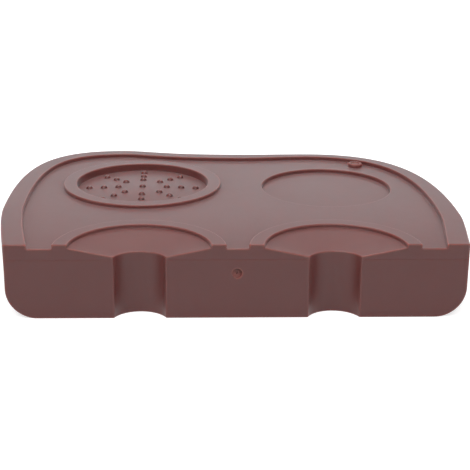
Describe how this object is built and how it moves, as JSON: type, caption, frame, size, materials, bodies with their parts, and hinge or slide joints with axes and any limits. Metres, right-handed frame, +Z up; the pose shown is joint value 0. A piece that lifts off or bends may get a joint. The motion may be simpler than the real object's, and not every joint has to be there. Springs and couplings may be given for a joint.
{
  "type": "corner tamper mat",
  "caption": "One-piece silicone mat that hooks over a counter's front edge, with raised rim, grooved portafilter rests, a pipped tamper well and a shallow tool recess.",
  "frame": {"origin": "the counter's front edge at mid-width: the deck's underside lies on z = 0 and the back of the lip on y = 0", "axes": "+X to the right along the front, +Y towards the back, +Z up"},
  "size_m": [0.211, 0.1517, 0.0339],
  "materials": {
    "silicone": "matt moulded silicone, reddish brown"
  },
  "bodies": {
    "root": {"mat": "silicone"}
  },
  "joints": []
}
